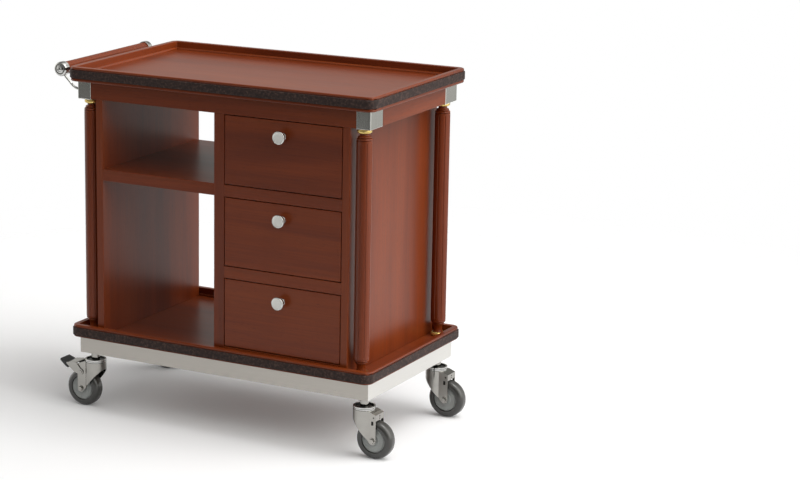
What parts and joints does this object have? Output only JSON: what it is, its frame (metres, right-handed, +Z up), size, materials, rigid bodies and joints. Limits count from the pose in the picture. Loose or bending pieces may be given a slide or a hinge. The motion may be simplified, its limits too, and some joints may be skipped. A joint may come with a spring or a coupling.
{
  "type": "serving trolley",
  "caption": "Wheeled wooden serving trolley with a rimmed tray top, fluted corner columns, an open bay with a shelf, drawers, a push handle and swivel casters.",
  "frame": {"origin": "on the floor, under the middle of the whole trolley's box, handle and trailing casters included", "axes": "+X away from the handle along the length, +Y from the drawer fronts to the back, +Z up"},
  "size_m": [0.917, 0.48, 0.84],
  "materials": {
    "polished_wood": "high gloss red-brown polish",
    "inner_wood": "plain lacquered plywood",
    "bumper": "dark grained band",
    "stainless": "fine brushed",
    "block_metal": "satin with bright bevels",
    "brass": "polished",
    "chrome": "polished",
    "zinc_steel": "bright zinc plated",
    "tyre": "grey-black rubber",
    "hub_plastic": "light grey moulded",
    "black_plastic": "moulded"
  },
  "bodies": {
    "trolley": {"tray_panel": "polished_wood", "tray_rim": "polished_wood", "tray_bumper": "bumper", "rim_beads": "polished_wood", "corner_blocks": "block_metal", "apron_front": "polished_wood", "apron_back": "polished_wood", "apron_left": "polished_wood", "apron_right": "polished_wood", "column_front_left": "polished_wood", "column_front_right": "polished_wood", "column_back_left": "polished_wood", "column_back_right": "polished_wood", "column_rings": "brass", "side_panel_left": "polished_wood", "side_panel_right": "polished_wood", "divider_panel": "polished_wood", "back_panel": "polished_wood", "bay_shelf": "polished_wood", "drawer_rails": "polished_wood", "drawer_runners": "inner_wood", "base_panel": "polished_wood", "base_rim": "polished_wood", "base_bumper": "bumper", "base_frame": "stainless", "caster_sockets": "stainless", "caster_stems": "zinc_steel", "handle_grip": "polished_wood", "handle_caps": "chrome", "handle_rods": "chrome"},
    "drawer_bottom": {"drawer_bottom_front": "polished_wood", "drawer_bottom_box": "inner_wood", "drawer_bottom_knob": "chrome"},
    "drawer_middle": {"drawer_middle_front": "polished_wood", "drawer_middle_box": "inner_wood", "drawer_middle_knob": "chrome"},
    "drawer_top": {"drawer_top_front": "polished_wood", "drawer_top_box": "inner_wood", "drawer_top_knob": "chrome"},
    "swivel_front_left": {"caster_fork_front_left": "zinc_steel", "caster_axle_front_left": "zinc_steel"},
    "wheel_front_left": {"caster_hub_front_left": "hub_plastic", "caster_tyre_front_left": "tyre"},
    "brake_front_left": {"brake_lever_front_left": "zinc_steel", "brake_pedal_front_left": "black_plastic"},
    "swivel_front_right": {"caster_fork_front_right": "zinc_steel", "caster_axle_front_right": "zinc_steel"},
    "wheel_front_right": {"caster_hub_front_right": "hub_plastic", "caster_tyre_front_right": "tyre"},
    "swivel_back_left": {"caster_fork_back_left": "zinc_steel", "caster_axle_back_left": "zinc_steel"},
    "wheel_back_left": {"caster_hub_back_left": "hub_plastic", "caster_tyre_back_left": "tyre"},
    "brake_back_left": {"brake_lever_back_left": "zinc_steel", "brake_pedal_back_left": "black_plastic"},
    "swivel_back_right": {"caster_fork_back_right": "zinc_steel", "caster_axle_back_right": "zinc_steel"},
    "wheel_back_right": {"caster_hub_back_right": "hub_plastic", "caster_tyre_back_right": "tyre"}
  },
  "joints": [
    {"name": "drawer_bottom_slide", "type": "slide", "parent": "trolley", "child": "drawer_bottom", "axis": [0, -1, 0], "range_m": [0, 0.3]},
    {"name": "drawer_middle_slide", "type": "slide", "parent": "trolley", "child": "drawer_middle", "axis": [0, -1, 0], "range_m": [0, 0.3]},
    {"name": "drawer_top_slide", "type": "slide", "parent": "trolley", "child": "drawer_top", "axis": [0, -1, 0], "range_m": [0, 0.3]},
    {"name": "swivel_front_left_turn", "type": "hinge", "parent": "trolley", "child": "swivel_front_left", "pos_m": [-0.3515, -0.186, 0.117], "axis": [0, 0, 1], "continuous": true},
    {"name": "wheel_front_left_spin", "type": "hinge", "parent": "swivel_front_left", "child": "wheel_front_left", "pos_m": [-0.3825, -0.186, 0.045], "axis": [0, 1, 0], "continuous": true},
    {"name": "brake_front_left_press", "type": "hinge", "parent": "swivel_front_left", "child": "brake_front_left", "pos_m": [-0.3828, -0.186, 0.087], "axis": [0, -1, 0], "range_deg": [0, 8]},
    {"name": "swivel_front_right_turn", "type": "hinge", "parent": "trolley", "child": "swivel_front_right", "pos_m": [0.3825, -0.186, 0.117], "axis": [0, 0, 1], "continuous": true},
    {"name": "wheel_front_right_spin", "type": "hinge", "parent": "swivel_front_right", "child": "wheel_front_right", "pos_m": [0.4135, -0.186, 0.045], "axis": [0, 1, 0], "continuous": true},
    {"name": "swivel_back_left_turn", "type": "hinge", "parent": "trolley", "child": "swivel_back_left", "pos_m": [-0.3515, 0.186, 0.117], "axis": [0, 0, 1], "continuous": true},
    {"name": "wheel_back_left_spin", "type": "hinge", "parent": "swivel_back_left", "child": "wheel_back_left", "pos_m": [-0.3825, 0.186, 0.045], "axis": [0, 1, 0], "continuous": true},
    {"name": "brake_back_left_press", "type": "hinge", "parent": "swivel_back_left", "child": "brake_back_left", "pos_m": [-0.3828, 0.186, 0.087], "axis": [0, -1, 0], "range_deg": [0, 8]},
    {"name": "swivel_back_right_turn", "type": "hinge", "parent": "trolley", "child": "swivel_back_right", "pos_m": [0.3825, 0.186, 0.117], "axis": [0, 0, 1], "continuous": true},
    {"name": "wheel_back_right_spin", "type": "hinge", "parent": "swivel_back_right", "child": "wheel_back_right", "pos_m": [0.4135, 0.186, 0.045], "axis": [0, 1, 0], "continuous": true}
  ]
}
